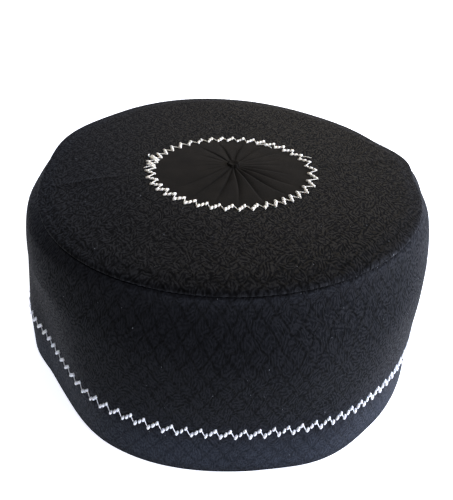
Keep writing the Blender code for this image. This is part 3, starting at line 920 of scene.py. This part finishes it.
def ringPath(firstTooth, teeth, outset=0.0):
    # where the ring's stitches lie, counted in teeth from its start and spread as its tooth widths say
    angles = np.radians(zigzag["ringStart"] + np.linspace(0, 360, 2401))
    x, y = joinOutline(angles)
    middles = np.degrees(0.5 * (angles[1:] + angles[:-1])) % 360
    counted = np.hypot(np.diff(x), np.diff(y)) / smoothValue(zigzag["toothWidths"], middles)
    counted = np.concatenate([[0.0], np.cumsum(counted)])
    places = firstTooth + np.arange(4 * teeth) / 4
    angles = np.interp(places, counted / counted[-1] * cap["ringTeeth"], angles)
    x, y = joinOutline(angles, inset=-outset)
    return placed(np.stack([x, y, np.full_like(angles, joinLevel)], axis=-1))


def linePath(teeth):
    angles = evenAngles(4 * teeth, zigzag["lineStart"])
    return placed(roundPoints(angles, *wallOuter(angles, cap["stitchHeight"])))


# Floor, light and camera
paper = {
    "size": 6.0,                # in metres
    "colours": ("#f6f6f6", "#fafafa"),
    "glow": "#eceffa",
    "shader": {"Roughness": 0.95, "Specular IOR Level": 0.1, "Emission Strength": 1.0},
}


def addStage():
    bpy.ops.mesh.primitive_plane_add(size=paper["size"], location=(0, 0, 0))
    floor = bpy.context.object
    floor.name = "pale_floor"
    # Matt paper: even and almost white, and it shines a little so that it comes out as pale as the photo's ground
    material, add = newMaterial("pale matt paper")
    fibres = add("TexNoise", {"Scale": 40.0, "Detail": 4.0})
    dark, light = map(hexColour, paper["colours"])
    colour = add("Mix", {"Factor": fibres, "A": dark, "B": light}, data_type="RGBA")
    shader = add("BsdfPrincipled", {"Base Color": colour.outputs[2], "Emission Color": hexColour(paper["glow"]),
                                    **paper["shader"]})
    add("OutputMaterial", [shader])
    floor.data.materials.append(material)


studio = {
    "sky": "#fbf8f5",
    "skyStrength": 0.19,
    "aim": (0, 0, 0.04),        # in metres, as are the lamps' places
    # soft boxes: name, place, width, power, colour
    "lamps": [("back lamp", (0.2, 0.95, 0.7), 0.9, 7.5, "#fff0d2"),
              ("right lamp", (0.9, 0.1, 0.45), 0.6, 15.5, "#dde6ff"),
              ("front right lamp", (0.9, -0.6, 0.3), 0.6, 14.0, "#eef1ff"),
              ("back left lamp", (-0.6, 0.8, 0.5), 0.6, 3.0, "#c8d8ff")],
}


def addLights():
    world = bpy.data.worlds.new("studio")
    world.use_nodes = True
    sky = world.node_tree.nodes["Background"].inputs
    sky["Color"].default_value = hexColour(studio["sky"])
    sky["Strength"].default_value = studio["skyStrength"]
    bpy.context.scene.world = world
    for name, place, width, power, colour in studio["lamps"]:
        lamp = bpy.data.lights.new(name, "AREA")
        lamp.shape = "DISK"
        lamp.size = width
        lamp.energy = power
        lamp.color = hexColour(colour)[:3]
        holder = addObject(name, lamp)
        holder.location = place
        holder.rotation_euler = (Vector(studio["aim"]) - Vector(place)).to_track_quat("-Z", "Y").to_euler()


view = {
    "eye": (1.43, -240.6, 198.7),
    "tilt": 33.79,              # looking down by this much
    "roll": 2.71,               # the camera leans to its left
    "lens": 43.2,
    "sensor": 36.0,
    "nearest": 0.01,            # in metres
}


def addCamera():
    data = bpy.data.cameras.new("camera")
    data.lens = view["lens"]
    data.sensor_width = view["sensor"]
    data.clip_start = view["nearest"]
    tilt, roll = math.radians(view["tilt"]), math.radians(view["roll"])
    right, back = Vector((1, 0, 0)), Vector((0, -math.cos(tilt), math.sin(tilt)))
    above = back.cross(right)
    sideways = right * math.cos(roll) + above * math.sin(roll)
    upwards = above * math.cos(roll) - right * math.sin(roll)
    turn = Matrix((sideways, upwards, back)).transposed().to_4x4()
    camera = addObject("camera", data)
    camera.matrix_world = Matrix.Translation(Vector(view["eye"]) * mm) @ turn
    bpy.context.scene.camera = camera


addStage()
addLights()
addCamera()
bpy.context.scene.view_settings.view_transform = "Standard"
print("floor, lights and camera are in place")

patterned = jacquardMaterial("black cotton jacquard, wall")
patternedCrown = jacquardMaterial("black cotton jacquard, crown", **jacquard["crown"])
smooth = plainClothMaterial()
wallPiece = addWall()
crownPiece = addCrown()
centrePiece = addCentre()
knotPiece = addKnot()
print("cloth pieces:", len(wallPiece.data.polygons), len(crownPiece.data.polygons), len(centrePiece.data.polygons))

ringThread = threadMaterial("ivory cotton thread", *thread["ringColours"])
lineThread = threadMaterial("white cotton thread", *thread["lineColours"])
stitching = zigzagTree()
besideRing = (crownPiece, centrePiece)
ring = stitchPath("ring_zigzag", ringPath(0, cap["ringTeeth"]), True, stitching, besideRing, ringThread, 3,
                  **zigzag["ring"])
# at the ring's left end the stitching overlaps its start
overlap = stitchPath("ring_overlap", ringPath(*zigzag["overlap"]), False, stitching, besideRing, ringThread, 5,
                     **zigzag["ring"])
bareThread = threadTree()
looseEnds = [looseThread(name, bareThread, points, radius, ringThread)
             for name, radius, points in zigzag["looseEnds"]]
line = stitchPath("hem_zigzag", linePath(cap["lineTeeth"]), True, stitching, (wallPiece, wallPiece), lineThread, 8)
print("stitches:", len(ring.data.polygons), len(overlap.data.polygons), len(line.data.polygons))

finishPiece(wallPiece, [patterned], ["side_band"])
finishPiece(crownPiece, [patternedCrown], ["crown_panel"])
finishPiece(centrePiece, [smooth], ["pleated_centre"])
finishPiece(knotPiece, [smooth], ["centre_knot"])
for sewn in (ring, overlap, *looseEnds, line):
    finishPiece(sewn)
